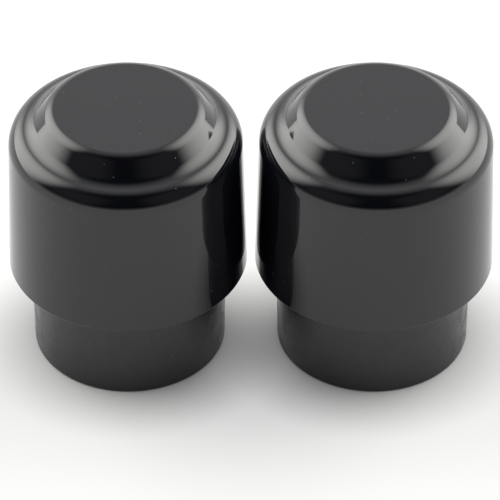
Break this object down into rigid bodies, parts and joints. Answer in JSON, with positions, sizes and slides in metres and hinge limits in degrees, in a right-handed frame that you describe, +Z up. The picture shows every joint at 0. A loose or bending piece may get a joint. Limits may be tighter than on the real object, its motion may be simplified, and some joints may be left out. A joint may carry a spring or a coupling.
{
  "type": "lever switch tip pair",
  "caption": "Matching glossy black round push-on tips for a blade selector switch's flat lever, each a stepped barrel on a narrower slotted stem.",
  "frame": {"origin": "on the surface the tips stand on, midway between them", "axes": "+Z up along both tips' own axes, +X from the left tip to the right tip, +Y away from the front"},
  "size_m": [0.0258, 0.0126, 0.0153],
  "materials": {
    "black_gloss_plastic": "polished black on the barrel and crown, satin on the stem"
  },
  "bodies": {
    "left_tip": {"left_switch_tip": "black_gloss_plastic"},
    "right_tip": {"right_switch_tip": "black_gloss_plastic"}
  },
  "joints": [
    {"name": "right_tip_lift", "type": "slide", "parent": "left_tip", "child": "right_tip", "axis": [0, 0, 1], "range_m": [0, 0.025]}
  ]
}
